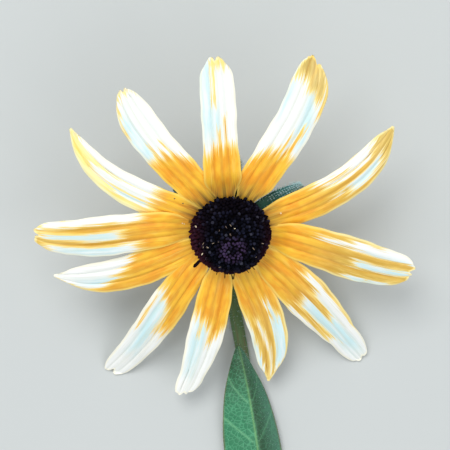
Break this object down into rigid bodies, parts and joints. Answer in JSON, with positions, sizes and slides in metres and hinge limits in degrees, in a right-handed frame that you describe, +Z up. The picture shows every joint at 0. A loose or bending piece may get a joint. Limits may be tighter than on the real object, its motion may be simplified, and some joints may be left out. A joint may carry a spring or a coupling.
{
  "type": "black eyed susan flower",
  "caption": "Cut daisy-like flower with a dark domed cone, yellow rays bleached white towards their tips, hairy bracts, a stem and a leaf, lying on its back.",
  "frame": {"origin": "under the middle of the bounding box, on the surface that the flower lies on", "axes": "+Z up from the surface, +Y from the cut end of the stem towards the head, +X to the right as seen from above"},
  "size_m": [0.0764, 0.1526, 0.0372],
  "materials": {
    "ray": "soft matte petal, yellow at the base and bleached white outwards",
    "cone": "matte, grainy, near black with a purple tint",
    "bract": "matte, hairy green",
    "leaf": "satin green with net veins and fine hairs",
    "stem": "matte green, finely ribbed and bristly"
  },
  "bodies": {
    "root": {"ray_petals": "ray", "disc_cone": "cone", "involucre": "bract", "leaf": "leaf", "stem": "stem"}
  },
  "joints": []
}
